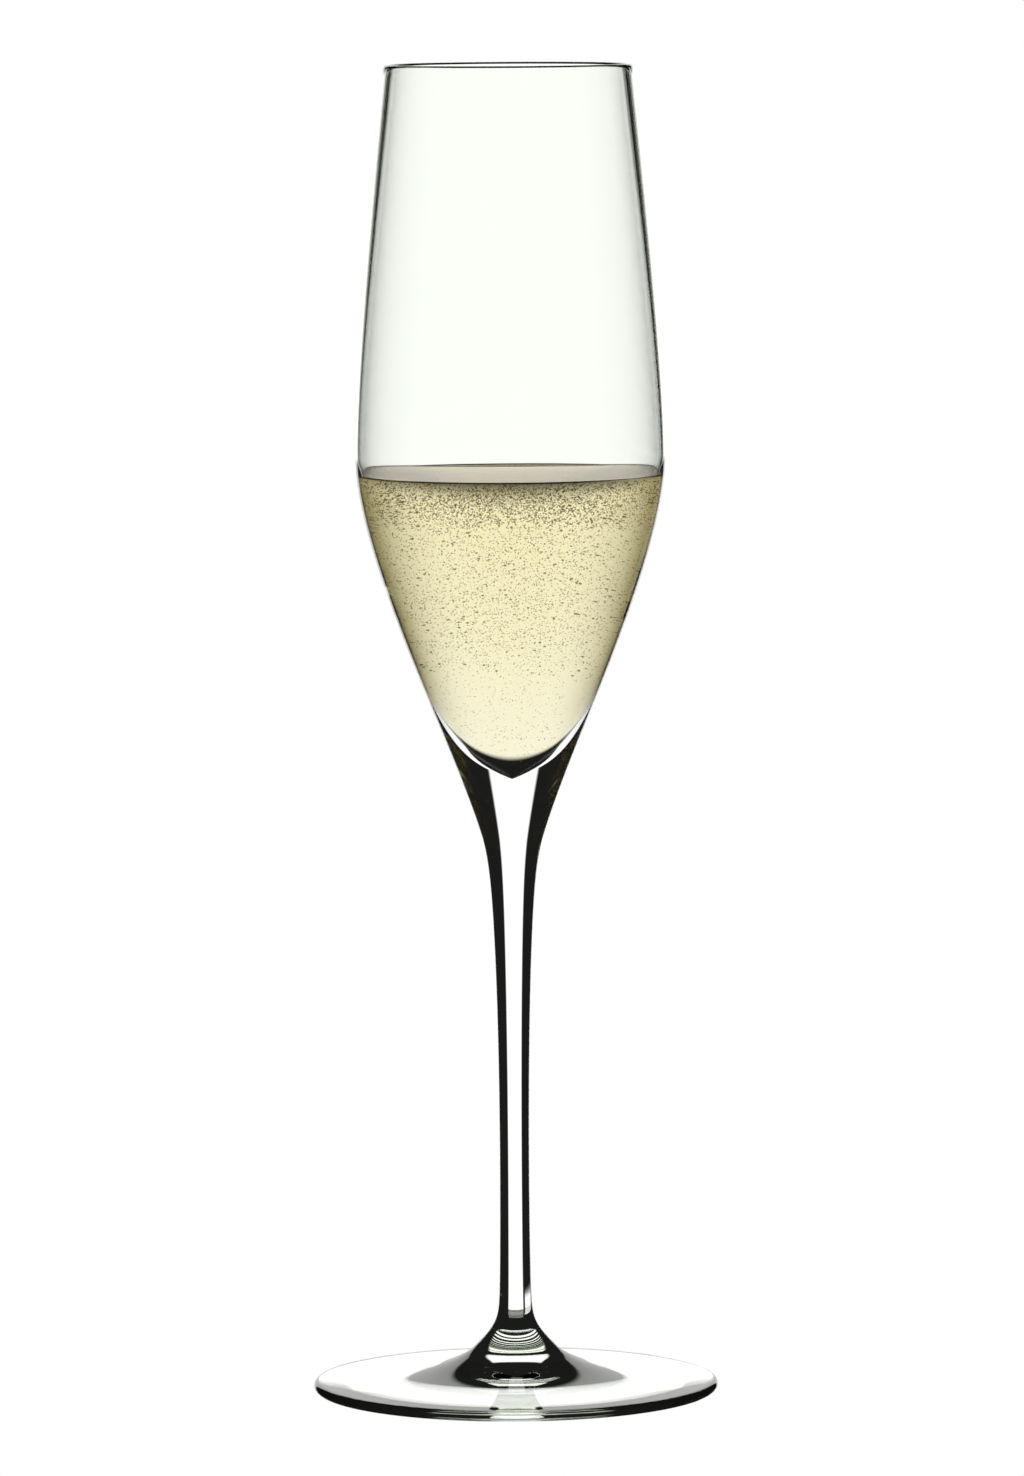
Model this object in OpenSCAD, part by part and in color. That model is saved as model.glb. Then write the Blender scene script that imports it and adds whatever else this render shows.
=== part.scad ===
// Champagne flute: a blown bowl, a drawn stem and a pressed foot, fused hot
// into one stemware glass, and the sparkling wine that stands in the bowl.
// Millimetres. The origin is at the centre of the foot's resting plane, +Z up.

/* [Bowl] */
// Height of the bowl, from its joint with the stem to the rim
bowl_h = 138; // [115:1:166]
// Outside diameter at the rim
rim_d = 44.4; // [37:0.1:53.4]
// Lean of the wall at the rim, radius lost for each unit of height gained
rim_lean = 0.104; // [0:0.002:0.15]
// Outside diameter at the belly, the widest place
belly_d = 55.4; // [46:0.1:66.6]
// Height of the belly above the joint
belly_h = 68; // [56:0.5:82]
// Outside diameter of the lower cone, where the glass starts to thicken
cone_d = 31.1; // [25.8:0.1:37.4]
// Height of that place on the cone above the joint
cone_h = 26; // [21:0.5:31.5]
// Slope of the cone there, radius gained for each unit of height
cone_lean = 0.41; // [0.3:0.01:0.5]
// Diameter where the bowl is fused to the stem
bowl_joint_d = 11; // [9:0.1:13.4]
// Slope of the outline at that joint
bowl_joint_lean = 0.3; // [0.2:0.01:0.36]

/* [Glass thickness] */
// Wall at the rim, which is fire-polished into a round bead
rim_wall = 1.4; // [1.15:0.05:1.7]
// Wall at the belly
belly_wall = 0.7; // [0.5:0.05:1.2]
// Wall at the named place on the lower cone
cone_wall = 4.45; // [3.6:0.05:5.4]
// Slope of the cavity's wall there, where the glass thins on its way up
cavity_lean = 0.54; // [0.45:0.01:0.6]
// Solid glass between the joint and the pointed bottom of the cavity
base_glass = 11.9; // [10:0.1:14.3]

/* [Stem] */
// Length of the stem between its two joints
stem_h = 83; // [68:1:101]
// Diameter of the neck, where the flare below the bowl ends
neck_d = 7.3; // [6:0.1:8.8]
// Distance of the neck below the bowl's joint
neck_drop = 14; // [11:0.5:17]
// Diameter of the thinnest place
thin_d = 5.3; // [4.4:0.1:6.4]
// Height of the thinnest place above the foot's joint
thin_rise = 23; // [18:0.5:28]

/* [Foot] */
// Diameter of the foot
foot_d = 72.8; // [60:0.1:88]
// Height of the foot, from the resting plane to its joint with the stem
foot_h = 17; // [14:0.5:20.5]
// Thickness of its rounded edge
foot_edge = 1.9; // [1.5:0.1:2.4]
// Diameter where the stem is fused to the foot
foot_joint_d = 5.8; // [5:0.1:7]
// Diameter of the knee, where the rise to the stem turns up at 45 degrees
knee_d = 14.8; // [12.2:0.1:17.8]
// Height of the knee above the resting plane
knee_h = 7.85; // [6.8:0.05:9.4]
// Width of the flat ring that the glass stands on
ring_w = 3; // [2:0.5:5]
// Rise of the hollow underside at its centre
hollow_h = 2.6; // [1.6:0.1:3.2]

/* [Wine] */
// Height of the wine's surface above the bowl's joint
fill_h = 64.8; // [40:0.1:78]
// Gap left between the wine's solid and the glass
wine_gap = 0.05; // [0.02:0.01:0.1]

/* [Hidden] */
$fn = 128;

// Heights above the resting plane
foot_joint_z = foot_h;
bowl_joint_z = foot_joint_z + stem_h;
rim_z = bowl_joint_z + bowl_h;
cavity_z = bowl_joint_z + base_glass;
fill_z = bowl_joint_z + fill_h;

// Straight steps in each curve, and in each rounded edge, where they are even
curve_steps = 14;
edge_steps = 8;

// A station of an outline is [radius, height, slope, pull up, pull down]. The
// pulls are the heights of the curves' handles above and below the station.
rim = [rim_d / 2, rim_z - rim_wall / 2, -rim_lean, 0, 24];
belly = [belly_d / 2, bowl_joint_z + belly_h, 0, 14.5, 5];
cone = [cone_d / 2, bowl_joint_z + cone_h, cone_lean, 27, 3];
bowl_joint = [bowl_joint_d / 2, bowl_joint_z, bowl_joint_lean, 8, 3];
neck = [neck_d / 2, bowl_joint_z - neck_drop, 0.06, 7, 13.5];
thin = [thin_d / 2, foot_joint_z + thin_rise, 0, 13.5, 4];
foot_joint = [foot_joint_d / 2, foot_joint_z, -0.05, 3.5, 4.4];
knee = [knee_d / 2, knee_h, -1, 3.8, 3.6];
foot_rim = [foot_d / 2 - foot_edge / 2, foot_edge, -30, 0.45, 0];

inner_rim = [rim[0] - rim_wall, rim[1], -rim_lean, 0, 24];
inner_belly = [belly[0] - belly_wall, belly[1], 0, 14.5, 5];
inner_cone = [cone[0] - cone_wall, cone[1], cavity_lean, 20, 9];
inner_tip = [0, cavity_z, 1.7, 3, 0];

// Points of a cubic curve from p to s with the handles q and r, without p
function bezier(p, q, r, s) = [
    for (i = [1:curve_steps]) let (t = i / curve_steps, u = 1 - t)
        u * u * u * p + 3 * u * u * t * q + 3 * u * t * t * r + t * t * t * s
];

// A station's place, and a handle at a height above or below it on its slope
function place(s) = [s[0], s[1]];
function handle(s, rise) = [s[0] + rise * s[2], s[1] + rise];

// Points of the outline down from station a to station b, without a
function down(a, b) = bezier(place(a), handle(a, -a[4]), handle(b, b[3]), place(b));

// Points of a half circle that starts at an angle, without its two ends
function half_circle(centre, radius, from, turn) = [
    for (i = [1:edge_steps - 1]) let (angle = from + turn * 180 * i / edge_steps)
        centre + radius * [cos(angle), sin(angle)]
];

// The same points in the opposite order
function reversed(points) = [for (i = [len(points) - 1:-1:0]) points[i]];

// The cavity's wall from the rim down to its tip, which the wine follows too
cavity_wall = concat(
    [place(inner_rim)],
    down(inner_rim, inner_belly),
    down(inner_belly, inner_cone),
    down(inner_cone, inner_tip)
);

// Radius of the cavity at a height
function cavity_radius(z) = lookup(z, [for (p = cavity_wall) [p[1], p[0]]]);

// A solid turned about the vertical axis from its half outline
module turned(outline) {
    rotate_extrude() polygon(outline);
}

// Thin-walled bowl with its bead and the thick glass under the cavity
module bowl() {
    bead = [rim[0] - rim_wall / 2, rim[1]];
    color([0.90, 0.95, 0.92, 0.45])
        turned(concat(
            cavity_wall,
            [[0, bowl_joint_z]],
            reversed(concat(
                [place(rim)],
                down(rim, belly),
                down(belly, cone),
                down(cone, bowl_joint)
            )),
            half_circle(bead, rim_wall / 2, 0, 1)
        ));
}

// Solid drawn stem between the bowl's flare and the foot
module stem() {
    color([0.88, 0.93, 0.91, 0.6])
        turned(concat(
            [[0, bowl_joint_z], place(bowl_joint)],
            down(bowl_joint, neck),
            down(neck, thin),
            down(thin, foot_joint),
            [[0, foot_joint_z]]
        ));
}

// Disc foot with a round edge, a flat resting ring and a hollow underside
module foot() {
    edge = [foot_rim[0], foot_edge / 2];
    ring_r = foot_rim[0] - ring_w;
    steps = 2 * edge_steps;
    color([0.88, 0.93, 0.91, 0.6])
        turned(concat(
            [[0, foot_joint_z], place(foot_joint)],
            down(foot_joint, knee),
            down(knee, foot_rim),
            half_circle(edge, foot_edge / 2, 90, -1),
            [[foot_rim[0], 0]],
            [for (i = [0:steps]) let (r = ring_r * (1 - i / steps))
                [r, hollow_h * pow(1 - pow(r / ring_r, 2), 2)]]
        ));
}

// The wine, level at its surface and a gap inside the cavity
module wine() {
    color([0.93, 0.86, 0.58, 0.8])
        turned(concat(
            [[0, fill_z], [cavity_radius(fill_z) - wine_gap, fill_z]],
            [for (p = cavity_wall) if (p[1] < fill_z && p[0] > wine_gap)
                [p[0] - wine_gap, p[1]]],
            [[0, cavity_z + wine_gap]]
        ));
}

bowl();
stem();
foot();
wine();
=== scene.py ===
"""Champagne flute with sparkling wine: the looks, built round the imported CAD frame.

The glass is three turned pieces fused hot, a blown bowl, a drawn stem and a pressed
foot, with the wine and its bubbles inside the bowl. Outlines are in millimetres, as
in the CAD source. The heights and radii that the frame's boxes give come from there,
and the other sizes repeat the CAD source's.
Light is refracted for real: glass against air, glass against wine, wine against air
and wine against gas each have the index of refraction of that boundary.
"""

import logging
import math
from dataclasses import dataclass, field
from enum import Enum

import bmesh
import bpy
import numpy as np
from mathutils import Matrix, Vector


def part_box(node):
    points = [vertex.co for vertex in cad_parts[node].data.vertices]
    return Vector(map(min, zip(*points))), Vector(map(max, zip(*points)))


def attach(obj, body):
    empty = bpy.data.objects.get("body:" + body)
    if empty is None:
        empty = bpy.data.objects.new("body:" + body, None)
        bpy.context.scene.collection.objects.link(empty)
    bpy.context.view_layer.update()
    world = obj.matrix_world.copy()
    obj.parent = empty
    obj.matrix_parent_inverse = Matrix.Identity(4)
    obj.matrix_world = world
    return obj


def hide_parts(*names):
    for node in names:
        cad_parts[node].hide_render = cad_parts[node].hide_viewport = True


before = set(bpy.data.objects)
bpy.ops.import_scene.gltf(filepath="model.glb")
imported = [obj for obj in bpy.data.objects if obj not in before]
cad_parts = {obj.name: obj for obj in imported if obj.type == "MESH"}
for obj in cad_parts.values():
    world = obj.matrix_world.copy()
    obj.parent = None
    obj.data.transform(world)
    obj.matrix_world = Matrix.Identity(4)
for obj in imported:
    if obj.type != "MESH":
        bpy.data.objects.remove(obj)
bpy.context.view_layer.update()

log = logging.getLogger("flute")
MM = 0.001

Point = tuple[float, float]


def linear(hex_colour: str) -> tuple[float, float, float, float]:
    """Turn an sRGB colour into linear light.

    Args:
        hex_colour: Six hex digits, such as "f3f5f0".

    Returns:
        Red, green, blue and an alpha of one.
    """
    parts = [int(hex_colour[i:i + 2], 16) / 255 for i in (0, 2, 4)]
    r, g, b = (c / 12.92 if c <= 0.04045 else ((c + 0.055) / 1.055) ** 2.4 for c in parts)
    return (r, g, b, 1.0)


def add_node(
    tree: bpy.types.NodeTree, kind: str, sockets: dict | None = None, **settings
) -> bpy.types.Node:
    """Add a node, set it up and link it.

    Args:
        tree: The node tree that it goes in.
        kind: Blender's name for the node.
        sockets: Input socket, by name or number, to its value or the output linked to it.
        **settings: Properties of the node itself.

    Returns:
        The new node.
    """
    node = tree.nodes.new(kind)
    for name, value in settings.items():
        setattr(node, name, value)
    for key, value in (sockets or {}).items():
        if isinstance(value, bpy.types.NodeSocket):
            tree.links.new(value, node.inputs[key])
        else:
            node.inputs[key].default_value = value
    return node


def maths(
    tree: bpy.types.NodeTree, operation: str, *values: float | bpy.types.NodeSocket
) -> bpy.types.NodeSocket:
    """Add a maths node.

    Args:
        tree: The node tree that it goes in.
        operation: Blender's name for the operation.
        *values: Its inputs in order, each a number or the output linked to it.

    Returns:
        The socket that carries its result.
    """
    return add_node(tree, "ShaderNodeMath", dict(enumerate(values)), operation=operation).outputs[0]


# ---------------------------------------------------------------- finishes


class Index(Enum):
    """Index of refraction of what the flute and its filling are made of."""

    AIR = 1.0
    WINE = 1.34
    CRYSTAL = 1.52


@dataclass(frozen=True)
class ClearBoundary:
    """A boundary between two clear bodies, bent and reflected by their indices.

    Blown and fire-polished glass has no grain: its surface is as smooth as a liquid's,
    so all that shows is what it bends and reflects.
    """

    name: str
    inside: Index
    outside: Index
    tint: str = "ffffff"
    roughness: float = 0.0

    def material(self) -> bpy.types.Material:
        """Return the Blender material of this boundary."""
        made = bpy.data.materials.new(self.name)
        made.use_nodes = True
        tree = made.node_tree
        tree.nodes.clear()
        glass = add_node(
            tree,
            "ShaderNodeBsdfGlass",
            {
                "Color": linear(self.tint),
                "Roughness": self.roughness,
                "IOR": self.inside.value / self.outside.value,
            },
        )
        self.finish_surface(tree, glass)
        return made

    def finish_surface(self, tree: bpy.types.NodeTree, shader: bpy.types.Node) -> None:
        """Link the shader to the material's output.

        Args:
            tree: The material's node tree.
            shader: The node whose first output is the surface.
        """
        add_node(tree, "ShaderNodeOutputMaterial", {"Surface": shader.outputs[0]})


@dataclass(frozen=True)
class WineBody(ClearBoundary):
    """A boundary of the wine, which also tints what passes through the wine.

    Sparkling white wine is a pale straw yellow that deepens with the length of the
    light's way through it.
    """

    absorbed: str = "f8f1d0"
    density: float = 20.0

    def finish_surface(self, tree: bpy.types.NodeTree, shader: bpy.types.Node) -> None:
        """Link the shader and the wine's absorption to the material's output.

        Args:
            tree: The material's node tree.
            shader: The node whose first output is the surface.
        """
        tint = add_node(
            tree,
            "ShaderNodeVolumeAbsorption",
            {"Color": linear(self.absorbed), "Density": self.density},
        )
        add_node(
            tree,
            "ShaderNodeOutputMaterial",
            {"Surface": shader.outputs[0], "Volume": tint.outputs[0]},
        )


# ---------------------------------------------------------------- outlines


@dataclass
class Station:
    """A place on a half outline that its curves pass through.

    Heights and radii are in millimetres. The slope is radius gained for each unit of
    height, and the pulls are the heights of the curves' handles above and below.
    """

    radius: float
    height: float
    slope: float = 0.0
    pull_up: float = 0.0
    pull_down: float = 0.0

    @property
    def place(self) -> Point:
        """Radius and height of the station."""
        return (self.radius, self.height)

    def handle(self, rise: float) -> Point:
        """Return the point at a height above or below the station on its slope."""
        return (self.radius + rise * self.slope, self.height + rise)


def curve_down(upper: Station, lower: Station, steps: int) -> list[Point]:
    """Sample the outline from one station down to the next.

    Args:
        upper: Where the curve starts.
        lower: Where it ends.
        steps: Straight steps that it is cut into.

    Returns:
        The points, without the upper station's own.
    """
    p, q = np.array(upper.place), np.array(upper.handle(-upper.pull_down))
    r, s = np.array(lower.handle(lower.pull_up)), np.array(lower.place)
    points = []
    for i in range(1, steps + 1):
        t = i / steps
        u = 1 - t
        point = u**3 * p + 3 * u * u * t * q + 3 * u * t * t * r + t**3 * s
        points.append((float(point[0]), float(point[1])))
    return points


def half_circle(centre: Point, radius: float, start: float, turn: int, steps: int) -> list[Point]:
    """Sample a half circle, without its two ends.

    Args:
        centre: Its centre.
        radius: Its radius.
        start: Angle of its first end, in degrees from outward.
        turn: 1 to go round anticlockwise, -1 clockwise.
        steps: Straight steps that it is cut into.

    Returns:
        The points between the two ends.
    """
    angles = [math.radians(start + turn * 180 * i / steps) for i in range(1, steps)]
    return [(centre[0] + radius * math.cos(a), centre[1] + radius * math.sin(a)) for a in angles]


def radius_at(outline: list[Point], height: float) -> float:
    """Return the radius of a single-valued outline at a height."""
    ordered = sorted(outline, key=lambda point: point[1])
    return float(np.interp(height, [p[1] for p in ordered], [p[0] for p in ordered]))


@dataclass
class HalfOutline:
    """A half outline that grows stretch by stretch, each with its own finish."""

    points: list[Point] = field(default_factory=list)
    finishes: list[int] = field(default_factory=list)

    def go(self, points: list[Point], finish: int) -> None:
        """Add points, the way to each of which has the finish of that number."""
        self.points += points
        self.finishes += [finish] * len(points)


# Straight sides round each turned piece, and the bend that shows as a crisp corner.
SEGMENTS = 256
SHARP_DEGREES = 35.0

# Least height kept between the line that the wine wets to and the next ring, in mm.
RING_GAP = 0.05


def turned(name: str, outline: HalfOutline, finishes: list[ClearBoundary]) -> bpy.types.Object:
    """Turn a half outline about the vertical axis.

    Args:
        name: The piece's name.
        outline: Half outline. The mesh is open where an end of it is off the axis.
        finishes: The finishes that its numbers stand for.

    Returns:
        The new object, in metres.
    """
    verts: list[tuple[float, float, float]] = []
    rings: list[list[int]] = []
    angles = [2 * math.pi * k / SEGMENTS for k in range(SEGMENTS)]
    for radius, height in outline.points:
        around = [0.0] if radius <= 0 else angles
        first = len(verts)
        verts += [(radius * MM * math.cos(a), radius * MM * math.sin(a), height * MM) for a in around]
        rings.append(list(range(first, len(verts))))
    faces: list[tuple[int, ...]] = []
    kinds: list[int] = []
    for lower, upper, kind in zip(rings, rings[1:], outline.finishes[1:]):
        for k in range(SEGMENTS):
            n = (k + 1) % SEGMENTS
            if len(lower) == 1:
                face = (lower[0], upper[n], upper[k])
            elif len(upper) == 1:
                face = (lower[k], lower[n], upper[0])
            else:
                face = (lower[k], lower[n], upper[n], upper[k])
            faces.append(face)
            kinds.append(kind)
    return dressed_mesh(name, verts, faces, kinds, finishes)


def dressed_mesh(
    name: str,
    verts: list[tuple[float, float, float]],
    faces: list[tuple[int, ...]],
    kinds: list[int],
    finishes: list[ClearBoundary],
) -> bpy.types.Object:
    """Make a smooth mesh object with a finish on each face and crisp corners.

    Args:
        name: The piece's name.
        verts: Its corners, in metres.
        faces: Its faces, anticlockwise seen from outside.
        kinds: The number of each face's finish.
        finishes: The finishes that those numbers stand for.

    Returns:
        The new object, linked to the scene.
    """
    mesh = bpy.data.meshes.new(name)
    mesh.from_pydata(verts, [], faces)
    for finish in finishes:
        found = bpy.data.materials.get(finish.name)
        mesh.materials.append(found or finish.material())
    mesh.polygons.foreach_set("material_index", kinds)
    mesh.polygons.foreach_set("use_smooth", [True] * len(faces))
    mesh.set_sharp_from_angle(angle=math.radians(SHARP_DEGREES))
    made = bpy.data.objects.new(name, mesh)
    bpy.context.scene.collection.objects.link(made)
    return made


def place_piece(piece: bpy.types.Object, slot: str, node: str | None = None) -> None:
    """Put a finished piece on the root body and say what it stands for.

    Args:
        piece: The piece, already in place.
        slot: Name of the record's material slot that it stands for, which is only logged.
        node: The CAD node that it replaces, if it replaces one.
    """
    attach(piece, "root")
    if node:
        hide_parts(node)
    log.info("%s: %d faces, slot %s", piece.name, len(piece.data.polygons), slot)


# Glass reheated in a flame until its skin flowed. It has no grain, so only its edges
# and reflections show it, with the faintest green of the iron in it.
GLASS_IN_AIR = ClearBoundary("fire_polished_crystal", Index.CRYSTAL, Index.AIR, "fefffd")
# The same wall where wine wets it. The two indices are close, so it all but vanishes.
GLASS_IN_WINE = ClearBoundary("crystal_wetted_by_wine", Index.CRYSTAL, Index.WINE)
# The wine's free surface, level and liquid smooth: a slightly warm mirror at low angles.
WINE_SURFACE = WineBody("sparkling_wine_surface", Index.WINE, Index.AIR, "fdf5ee")
# The wine's side bends nothing, because the wetted wall beside it already does.
WINE_SIDE = WineBody("sparkling_wine_against_glass", Index.AIR, Index.AIR)
# Gas in wine. Light that meets a bubble near its edge is mirrored, which rings it dark.
GAS_BUBBLE = ClearBoundary("carbon_dioxide_bubble", Index.AIR, Index.WINE, "faeed2")


# ---------------------------------------------------------------- the glass


@dataclass
class Bowl:
    """The blown bowl, from its rim down to its joint with the stem."""

    joint_z: float
    rim_z: float
    belly_r: float
    joint_r: float
    rim_r: float = 22.2
    rim_lean: float = 0.104
    belly_h: float = 68.0
    cone_r: float = 15.55
    cone_h: float = 26.0
    cone_lean: float = 0.41
    joint_lean: float = 0.3
    rim_wall: float = 1.4
    belly_wall: float = 0.7
    cone_wall: float = 4.45
    cavity_lean: float = 0.54
    base_glass: float = 11.9
    tip_lean: float = 1.7
    steps: int = 40
    bead_steps: int = 16

    @property
    def bead_z(self) -> float:
        """Height of the centre of the rim's bead."""
        return self.rim_z - self.rim_wall / 2

    @property
    def belly_z(self) -> float:
        """Height of the widest place."""
        return self.joint_z + self.belly_h

    @property
    def cone_z(self) -> float:
        """Height of the place on the lower cone where the glass starts to thicken."""
        return self.joint_z + self.cone_h

    def outer_wall(self) -> list[Point]:
        """Return the outside from the rim's bead down to the joint."""
        rim = Station(self.rim_r, self.bead_z, -self.rim_lean, pull_down=24)
        belly = Station(self.belly_r, self.belly_z, pull_up=14.5, pull_down=5)
        cone = Station(self.cone_r, self.cone_z, self.cone_lean, pull_up=27, pull_down=3)
        joint = Station(self.joint_r, self.joint_z, self.joint_lean, pull_up=8)
        points = [rim.place]
        for upper, lower in ((rim, belly), (belly, cone), (cone, joint)):
            points += curve_down(upper, lower, self.steps)
        return points

    def cavity(self) -> list[Point]:
        """Return the cavity's wall from the rim's bead down to its tip."""
        rim = Station(self.rim_r - self.rim_wall, self.bead_z, -self.rim_lean, pull_down=24)
        belly = Station(self.belly_r - self.belly_wall, self.belly_z, pull_up=14.5, pull_down=5)
        cone = Station(self.cone_r - self.cone_wall, self.cone_z, self.cavity_lean, pull_up=20, pull_down=9)
        tip = Station(0, self.joint_z + self.base_glass, self.tip_lean, pull_up=3)
        points = [rim.place]
        for upper, lower in ((rim, belly), (belly, cone), (cone, tip)):
            points += curve_down(upper, lower, self.steps)
        return points

    def build(self, wet_to: float) -> bpy.types.Object:
        """Build the bowl, open where it is fused to the stem.

        Args:
            wet_to: Height up to which wine wets the cavity's wall.

        Returns:
            The bowl, on its body.
        """
        wall = self.cavity()
        contact = (radius_at(wall, wet_to), wet_to)
        bead = (self.rim_r - self.rim_wall / 2, self.bead_z)
        outline = HalfOutline()
        outline.go(self.outer_wall()[::-1], 0)
        outline.go(half_circle(bead, self.rim_wall / 2, 0, 1, self.bead_steps), 0)
        outline.go([p for p in wall if p[1] > wet_to + RING_GAP] + [contact], 0)
        outline.go([p for p in wall if p[1] < wet_to - RING_GAP], 1)
        bowl = turned("bowl_blown", outline, [GLASS_IN_AIR, GLASS_IN_WINE])
        place_piece(bowl, "bowl_glass", "bowl")
        return bowl


@dataclass
class Stem:
    """The drawn stem, solid glass from the foot's joint to the bowl's."""

    foot_joint_z: float
    bowl_joint_z: float
    bowl_joint_r: float
    foot_joint_r: float = 2.9
    bowl_joint_lean: float = 0.3
    foot_joint_lean: float = -0.05
    neck_r: float = 3.65
    neck_drop: float = 14.0
    neck_lean: float = 0.06
    thin_r: float = 2.65
    thin_rise: float = 23.0
    steps: int = 30

    def side(self) -> list[Point]:
        """Return the outside from the bowl's joint down to the foot's."""
        neck_z = self.bowl_joint_z - self.neck_drop
        thin_z = self.foot_joint_z + self.thin_rise
        top = Station(self.bowl_joint_r, self.bowl_joint_z, self.bowl_joint_lean, pull_down=3)
        neck = Station(self.neck_r, neck_z, self.neck_lean, pull_up=7, pull_down=13.5)
        thin = Station(self.thin_r, thin_z, pull_up=13.5, pull_down=4)
        bottom = Station(self.foot_joint_r, self.foot_joint_z, self.foot_joint_lean, pull_up=3.5)
        points = [top.place]
        for upper, lower in ((top, neck), (neck, thin), (thin, bottom)):
            points += curve_down(upper, lower, self.steps)
        return points

    def build(self) -> bpy.types.Object:
        """Build the stem, open where it is fused at both ends, and return it, on its body."""
        outline = HalfOutline()
        outline.go(self.side()[::-1], 0)
        stem = turned("stem_drawn", outline, [GLASS_IN_AIR])
        place_piece(stem, "stem_glass", "stem")
        return stem


@dataclass
class Foot:
    """The disc foot, from the resting plane up to its joint with the stem."""

    joint_z: float
    foot_r: float
    joint_r: float = 2.9
    joint_lean: float = -0.05
    edge: float = 1.9
    edge_lean: float = -30.0
    knee_r: float = 7.4
    knee_h: float = 7.85
    knee_lean: float = -1.0
    ring_w: float = 3.0
    hollow_h: float = 2.6
    steps: int = 40
    edge_steps: int = 20

    @property
    def edge_r(self) -> float:
        """Radius at the centre of the rounded edge."""
        return self.foot_r - self.edge / 2

    def top(self) -> list[Point]:
        """Return the upper side from the stem's joint out to the rounded edge."""
        joint = Station(self.joint_r, self.joint_z, self.joint_lean, pull_down=4.4)
        knee = Station(self.knee_r, self.knee_h, self.knee_lean, pull_up=3.8, pull_down=3.6)
        rim = Station(self.edge_r, self.edge, self.edge_lean, pull_up=0.45)
        return [joint.place] + curve_down(joint, knee, self.steps) + curve_down(knee, rim, self.steps)

    def underside(self) -> list[Point]:
        """Return the hollow underside from its centre out to the resting ring."""
        ring_r = self.edge_r - self.ring_w
        shares = [i / self.steps for i in range(self.steps + 1)]
        return [(ring_r * s, self.hollow_h * (1 - s * s) ** 2) for s in shares]

    def build(self) -> bpy.types.Object:
        """Build the foot, open where it is fused to the stem, and return it, on its body."""
        centre = (self.edge_r, self.edge / 2)
        outline = HalfOutline()
        outline.go(self.underside() + [(self.edge_r, 0.0)], 0)
        outline.go(half_circle(centre, self.edge / 2, -90, 1, self.edge_steps), 0)
        outline.go(self.top()[::-1], 0)
        foot = turned("foot_pressed", outline, [GLASS_IN_AIR])
        place_piece(foot, "foot_glass", "foot")
        return foot


# ---------------------------------------------------------------- the wine


@dataclass
class Wine:
    """The wine in the bowl, with the meniscus where it climbs the glass.

    The surface's steps crowd towards the glass, where it curves, and the wine's side
    stands off the wall by the film, so that no two surfaces lie in one place.
    """

    fill_z: float
    wall: list[Point]
    meniscus_h: float = 0.4
    meniscus_w: float = 0.8
    film: float = 0.02
    steps: int = 60
    crowding: float = 2.5

    @property
    def contact_z(self) -> float:
        """Height of the line where the wine's surface meets the glass."""
        return self.fill_z + self.meniscus_h

    def surface(self) -> list[Point]:
        """Return the surface from its edge at the glass in to the axis."""
        edge_r = radius_at(self.wall, self.contact_z) - self.film
        points = []
        for i in range(self.steps + 1):
            inset = edge_r * (i / self.steps) ** self.crowding
            climb = self.meniscus_h * math.exp(-inset / self.meniscus_w)
            points.append((edge_r - inset, self.fill_z + climb))
        return points

    def side(self) -> list[Point]:
        """Return the side from the tip of the cavity up to the surface's edge."""
        points = [(p[0] - self.film, p[1]) for p in self.wall if p[1] < self.contact_z - RING_GAP]
        tip = (0.0, self.wall[-1][1] + self.film)
        return [tip] + [p for p in points[::-1] if p[0] > 2 * self.film]

    def build(self) -> bpy.types.Object:
        """Build the wine as one closed solid and return it, on its body."""
        outline = HalfOutline()
        outline.go(self.side() + self.surface()[:1], 1)
        outline.go(self.surface()[1:], 0)
        wine = turned("wine_sparkling", outline, [WINE_SURFACE, WINE_SIDE])
        place_piece(wine, "wine", "wine")
        return wine


class Where(Enum):
    """Where in the wine a swarm of bubbles is."""

    LOOSE = "rising anywhere in the wine"
    ON_GLASS = "clinging to the bowl's wall"


@dataclass(frozen=True)
class Swarm:
    """Bubbles of like size between two depths below the wine's surface, in millimetres.

    The cuts are how finely each bubble's ball is divided. Clinging bubbles are larger,
    so theirs are rounder.
    """

    name: str
    count: int
    shallow: float
    deep: float
    least_r: float
    most_r: float
    where: Where = Where.LOOSE
    cuts: int = 1


SWARMS = [
    Swarm("bubbles_crowding_up", 5600, 0.3, 8.0, 0.05, 0.115),
    Swarm("bubbles_rising", 6400, 3.0, 34.0, 0.045, 0.09),
    Swarm("bubbles_sparse", 1400, 18.0, 51.0, 0.045, 0.085),
    Swarm("bubbles_clinging", 1500, 0.5, 36.0, 0.07, 0.15, Where.ON_GLASS, 2),
]


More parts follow.
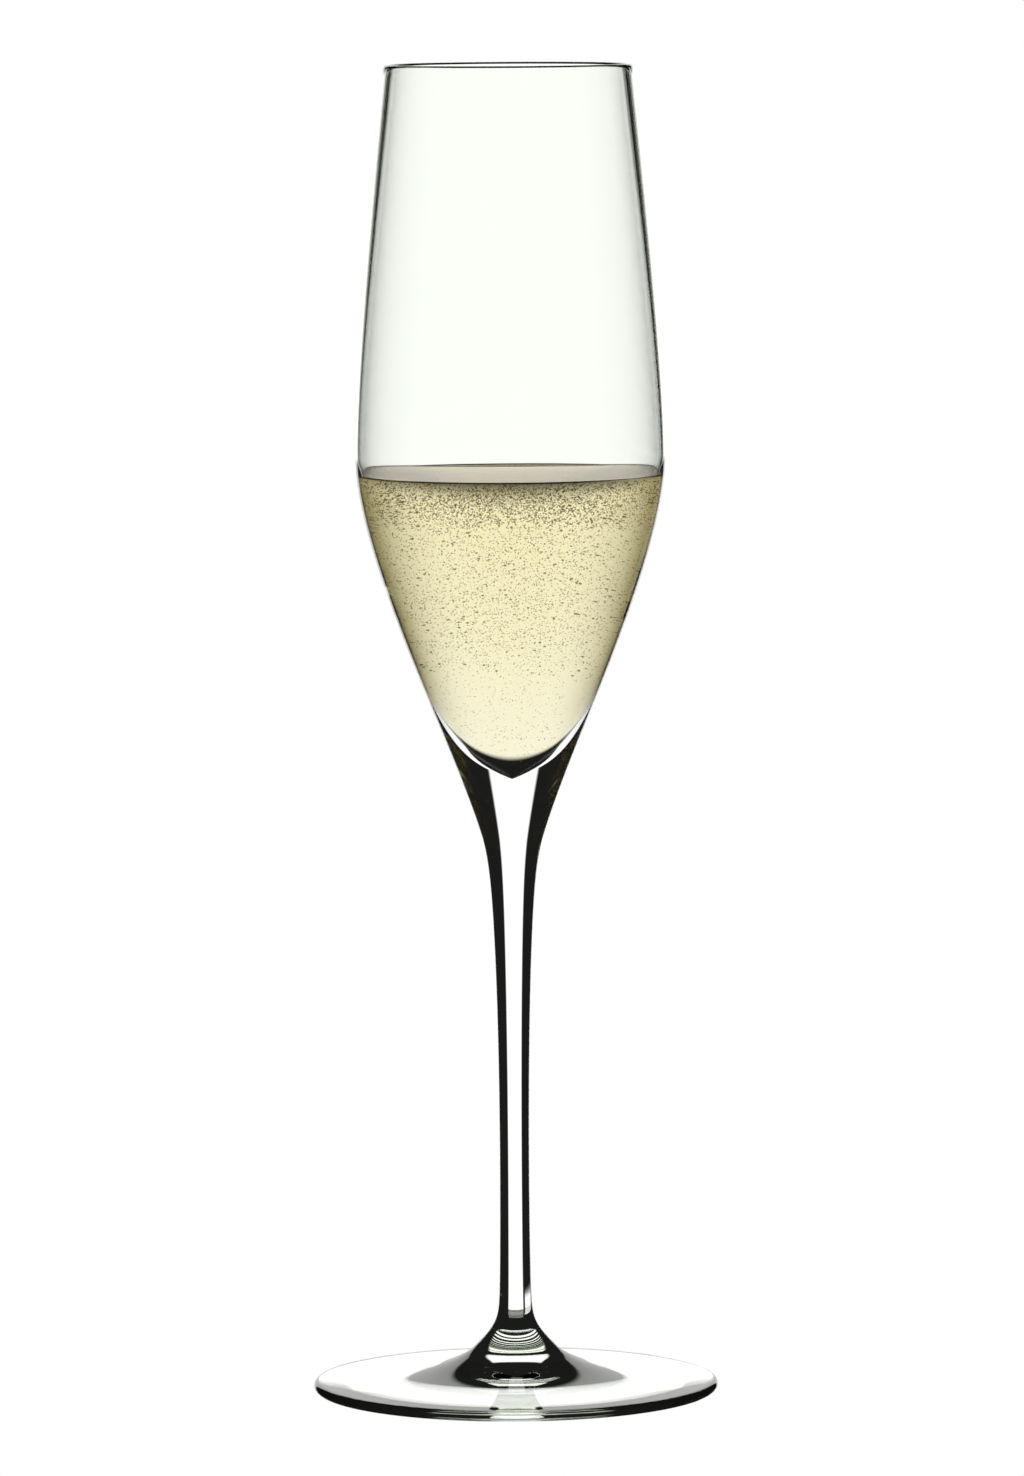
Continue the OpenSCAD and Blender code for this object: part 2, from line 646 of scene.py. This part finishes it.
@dataclass
class Bubbles:
    """The gas bubbles in the wine, each a small ball of one joined mesh per swarm.

    A bubble stays clear of the wall, whose radius is taken a little below it because
    the wall leans in on its way down. The spread is the beta curve that depths are
    drawn from, which thins a swarm out downwards.
    """

    surface_z: float
    wall: list[Point]
    clear: float = 0.08
    wall_drop: float = 0.3
    spread: tuple[float, float] = (1.1, 1.7)
    seed: int = 7

    def centres(self, swarm: Swarm, rng: np.random.Generator) -> np.ndarray:
        """Scatter a swarm's centres and radii.

        Args:
            swarm: The swarm.
            rng: Source of chance.

        Returns:
            One row of x, y, z and radius for each bubble, in millimetres.
        """
        sizes = rng.uniform(swarm.least_r, swarm.most_r, swarm.count)
        depths = swarm.shallow + (swarm.deep - swarm.shallow) * rng.beta(*self.spread, swarm.count)
        heights = self.surface_z - depths
        walls = np.array([radius_at(self.wall, z - self.wall_drop) for z in heights])
        limits = walls - sizes - self.clear
        shares = np.sqrt(rng.uniform(0, 1, swarm.count)) if swarm.where is Where.LOOSE else 1.0
        turns = rng.uniform(0, 2 * math.pi, swarm.count)
        return np.stack(
            [limits * shares * np.cos(turns), limits * shares * np.sin(turns), heights, sizes], axis=1
        )

    def ball(self, cuts: int) -> tuple[np.ndarray, np.ndarray]:
        """Return the corners and faces of a ball of radius one, rounder with more cuts."""
        shape = bmesh.new()
        bmesh.ops.create_icosphere(shape, subdivisions=cuts, radius=1.0)
        corners = np.array([v.co[:] for v in shape.verts])
        faces = np.array([[v.index for v in f.verts] for f in shape.faces])
        shape.free()
        return corners, faces

    def build(self) -> None:
        """Build every swarm as one piece on its body."""
        rng = np.random.default_rng(self.seed)
        for swarm in SWARMS:
            corners, faces = self.ball(swarm.cuts)
            rows = self.centres(swarm, rng)
            verts = rows[:, None, :3] + corners[None] * rows[:, None, 3:]
            joined = faces[None] + len(corners) * np.arange(len(rows))[:, None, None]
            flat = joined.reshape(-1, 3).tolist()
            corners_m = (verts.reshape(-1, 3) * MM).tolist()
            piece = dressed_mesh(swarm.name, corners_m, flat, [0] * len(flat), [GAS_BUBBLE])
            place_piece(piece, "wine")


# ---------------------------------------------------------------- the studio


class Seen(Enum):
    """Which rays meet a light card."""

    ROUND_WINE = "rays that did not cross the wine"
    THROUGH_GLASS = "rays that were only refracted, and did not cross the wine"
    THROUGH_WINE = "rays that crossed the wine and both its boundaries"
    BENT_BY_WINE = "the same rays, if nothing mirrored them on their way"
    WINE_GLOW = "the same unmirrored rays, as light that the wine's haze has spread and warmed"


@dataclass(frozen=True)
class LightCard:
    """A card that lights the glass from one side, with black all round it.

    Angles are in degrees: the azimuth from +Y towards +X, low and high above the horizon.
    The light fades over twice the soft angle at the card's low and high edges, and over
    twice the side soft angle at its upright ones.
    """

    azimuth: float
    half_width: float
    low: float
    high: float
    soft: float = 1.5
    bright: float = 1.2
    seen: Seen = Seen.ROUND_WINE
    side_soft: float = 1.5


# Known fault: this light is not even. All but the last card stand behind the glass as
# seen from one of four views: the front, and azimuth and elevation 90,3; 45,25 and
# 225,15. Seen from 135,10; 180,5 and 300,15 the bowl, stem and foot are almost black.
CARDS = [
    LightCard(-1.2, 19.3, -24, 27),
    LightCard(-91.2, 19.3, -24, 27, seen=Seen.THROUGH_GLASS),
    LightCard(-46.2, 19.3, -45, -12, seen=Seen.THROUGH_GLASS),
    LightCard(133.8, 19.3, -35, 27, seen=Seen.THROUGH_GLASS),
    LightCard(0, 32, 2, 40, 2.5, 0.62, Seen.THROUGH_WINE, 22),
    LightCard(0, 32, 0, 6, 2, 0.62, Seen.BENT_BY_WINE, 22),
    LightCard(-90, 32, 2, 40, 2.5, 0.62, Seen.THROUGH_WINE, 12),
    LightCard(-46, 24, -22, -6, 2.5, 0.62, Seen.THROUGH_WINE, 10),
    LightCard(134, 32, -6, 40, 2.5, 0.62, Seen.THROUGH_WINE, 22),
    LightCard(0, 60, 0, 42, 2.5, 0.46, Seen.WINE_GLOW, 5),
    LightCard(-90, 27, 2, 40, 2.5, 0.46, Seen.WINE_GLOW, 8),
    LightCard(-46, 24, -22, -6, 2.5, 0.46, Seen.WINE_GLOW, 10),
    LightCard(134, 60, -6, 40, 2.5, 0.46, Seen.WINE_GLOW, 10),
    LightCard(0, 181, -91, -50, 6, 0.4, Seen.WINE_GLOW),
]
GLOW = "fff3ba"
DARK = 0.011

# The dry bowl's two walls have four surfaces, and wine adds more. These stand between
# two whole counts, to tell a ray that crossed wine and a ray that nothing mirrored.
DRY_CROSSINGS = 4.5
NO_MIRRORING = 0.5


@dataclass
class Studio:
    """Floor, light and camera, none of them part of the object."""

    camera_back: float = 1.6112
    camera_up: float = 0.2666
    pitch: float = 5.28
    roll: float = 0.355
    lens: float = 220.56
    sensor: float = 36.0
    nearest: float = 0.1
    farthest: float = 200.0
    floor_size: float = 60.0

    def camera(self) -> None:
        """Stand the camera in front of the glass, a little above it."""
        data = bpy.data.cameras.new("camera")
        data.sensor_width = self.sensor
        data.lens = self.lens
        data.clip_start = self.nearest
        data.clip_end = self.farthest
        camera = bpy.data.objects.new("camera", data)
        bpy.context.scene.collection.objects.link(camera)
        pitch, roll = math.radians(self.pitch), math.radians(self.roll)
        ahead = Vector((0, math.cos(pitch), -math.sin(pitch)))
        level_up = Vector((0, math.sin(pitch), math.cos(pitch)))
        level_right = Vector((1, 0, 0))
        up = level_up * math.cos(roll) + level_right * math.sin(roll)
        right = ahead.cross(up)
        turn = Matrix((right, up, -ahead)).transposed().to_4x4()
        camera.matrix_world = Matrix.Translation((0, -self.camera_back, self.camera_up)) @ turn
        bpy.context.scene.camera = camera

    def floor(self) -> None:
        """Lay a plain white floor that shows no edge against the white behind it."""
        half = self.floor_size / 2
        mesh = bpy.data.meshes.new("floor")
        corners = [(-half, -half, 0), (half, -half, 0), (half, half, 0), (-half, half, 0)]
        mesh.from_pydata(corners, [], [(0, 1, 2, 3)])
        floor = bpy.data.objects.new("floor", mesh)
        bpy.context.scene.collection.objects.link(floor)
        white = bpy.data.materials.new("white_sweep")
        white.use_nodes = True
        white.node_tree.nodes.clear()
        glow = add_node(white.node_tree, "ShaderNodeEmission", {"Color": (1, 1, 1, 1), "Strength": 1.0})
        add_node(white.node_tree, "ShaderNodeOutputMaterial", {"Surface": glow.outputs[0]})
        mesh.materials.append(white)
        floor.visible_transmission = False
        floor.visible_glossy = False
        floor.visible_diffuse = False

    def light(self) -> None:
        """Light the glass by cards in a dark room, before a white backdrop."""
        world = bpy.data.worlds.new("studio")
        bpy.context.scene.world = world
        world.use_nodes = True
        tree = world.node_tree
        tree.nodes.clear()
        way = add_node(tree, "ShaderNodeTexCoord").outputs["Generated"]
        parts = add_node(tree, "ShaderNodeSeparateXYZ", {0: way}).outputs
        turn = maths(tree, "ARCTAN2", parts[0], parts[1])
        lift = maths(tree, "ARCSINE", parts[2])
        path = add_node(tree, "ShaderNodeLightPath").outputs
        gates = self.gates(tree, path)
        totals = {"white": DARK, "warm": 0.0}
        for card in CARDS:
            light = maths(tree, "MULTIPLY", self.card_light(tree, turn, lift, card), gates[card.seen])
            hue = "warm" if card.seen is Seen.WINE_GLOW else "white"
            totals[hue] = maths(tree, "MAXIMUM", light, totals[hue])
        backdrop = self.glowing(tree, "ffffff", 1.0)
        white = self.glowing(tree, "ffffff", totals["white"])
        warm = self.glowing(tree, GLOW, totals["warm"])
        cards = add_node(tree, "ShaderNodeAddShader", {0: white, 1: warm}).outputs[0]
        mix = add_node(tree, "ShaderNodeMixShader", {0: path["Is Camera Ray"], 1: cards, 2: backdrop})
        add_node(tree, "ShaderNodeOutputWorld", {"Surface": mix.outputs[0]})

    def glowing(
        self, tree: bpy.types.NodeTree, colour: str, strength: float | bpy.types.NodeSocket
    ) -> bpy.types.NodeSocket:
        """Add light of one colour.

        Args:
            tree: The world's node tree.
            colour: Six hex digits.
            strength: Its strength, or the output linked to it.

        Returns:
            The socket that carries it.
        """
        made = add_node(tree, "ShaderNodeBackground", {"Color": linear(colour), "Strength": strength})
        return made.outputs[0]

    def gates(
        self, tree: bpy.types.NodeTree, path: bpy.types.NodeOutputs
    ) -> dict[Seen, bpy.types.NodeSocket]:
        """Work out which cards a ray may meet.

        Args:
            tree: The world's node tree.
            path: What is known of the ray's way through the scene.

        Returns:
            For each kind of card, the socket that is one if the ray meets it and else zero.
        """
        unmirrored = maths(tree, "LESS_THAN", path["Glossy Depth"], NO_MIRRORING)
        crossed = maths(tree, "GREATER_THAN", path["Transmission Depth"], DRY_CROSSINGS)
        missed = maths(tree, "SUBTRACT", 1.0, crossed)
        bent = maths(tree, "MULTIPLY", crossed, unmirrored)
        return {
            Seen.ROUND_WINE: missed,
            Seen.THROUGH_GLASS: maths(tree, "MULTIPLY", missed, unmirrored),
            Seen.THROUGH_WINE: crossed,
            Seen.BENT_BY_WINE: bent,
            Seen.WINE_GLOW: bent,
        }

    def card_light(
        self,
        tree: bpy.types.NodeTree,
        turn: bpy.types.NodeSocket,
        lift: bpy.types.NodeSocket,
        card: LightCard,
    ) -> bpy.types.NodeSocket:
        """Work out how much light of one card comes from each direction.

        Args:
            tree: The world's node tree.
            turn: Direction's angle from +Y towards +X, in radians.
            lift: Direction's angle above the horizon, in radians.
            card: The card.

        Returns:
            The socket that carries its light.
        """
        off = maths(tree, "SUBTRACT", turn, math.radians(card.azimuth))
        side = maths(tree, "ABSOLUTE", maths(tree, "WRAP", off, -math.pi, math.pi))
        spans = (
            (side, card.half_width + card.side_soft, card.half_width - card.side_soft),
            (lift, card.low - card.soft, card.low + card.soft),
            (lift, card.high + card.soft, card.high - card.soft),
        )
        light = card.bright
        for angle, dark, bright in spans:
            step = add_node(
                tree,
                "ShaderNodeMapRange",
                {"Value": angle, "From Min": math.radians(dark), "From Max": math.radians(bright)},
                interpolation_type="SMOOTHSTEP",
            ).outputs[0]
            light = maths(tree, "MULTIPLY", light, step)
        return light


# Times that light may pass or be mirrored by a boundary before it is given up.
CLEAR_BOUNCES = 32
MIRROR_BOUNCES = 16


def set_render_looks() -> None:
    """Let light bend through the many clear boundaries, and keep white white."""
    scene = bpy.context.scene
    scene.view_settings.view_transform = "Standard"
    cycles = scene.cycles
    cycles.max_bounces = CLEAR_BOUNCES
    cycles.transmission_bounces = CLEAR_BOUNCES
    cycles.glossy_bounces = MIRROR_BOUNCES
    cycles.volume_bounces = 0


def main() -> None:
    """Build the studio and the flute, piece by piece."""
    logging.basicConfig(level=logging.INFO, format="%(name)s %(message)s")
    studio = Studio()
    studio.camera()
    studio.floor()
    studio.light()
    set_render_looks()

    bowl_low, bowl_high = (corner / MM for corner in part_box("bowl"))
    _, foot_high = (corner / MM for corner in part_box("foot"))
    stem_low, stem_high = (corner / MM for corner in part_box("stem"))
    _, wine_high = (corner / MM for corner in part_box("wine"))
    bowl = Bowl(joint_z=bowl_low.z, rim_z=bowl_high.z, belly_r=bowl_high.x, joint_r=stem_high.x)
    wine = Wine(fill_z=wine_high.z, wall=bowl.cavity())
    bowl.build(wine.contact_z)
    Stem(foot_joint_z=stem_low.z, bowl_joint_z=stem_high.z, bowl_joint_r=stem_high.x).build()
    Foot(joint_z=foot_high.z, foot_r=foot_high.x).build()
    wine.build()
    Bubbles(surface_z=wine.fill_z, wall=bowl.cavity()).build()


if __name__ == "__main__":
    main()
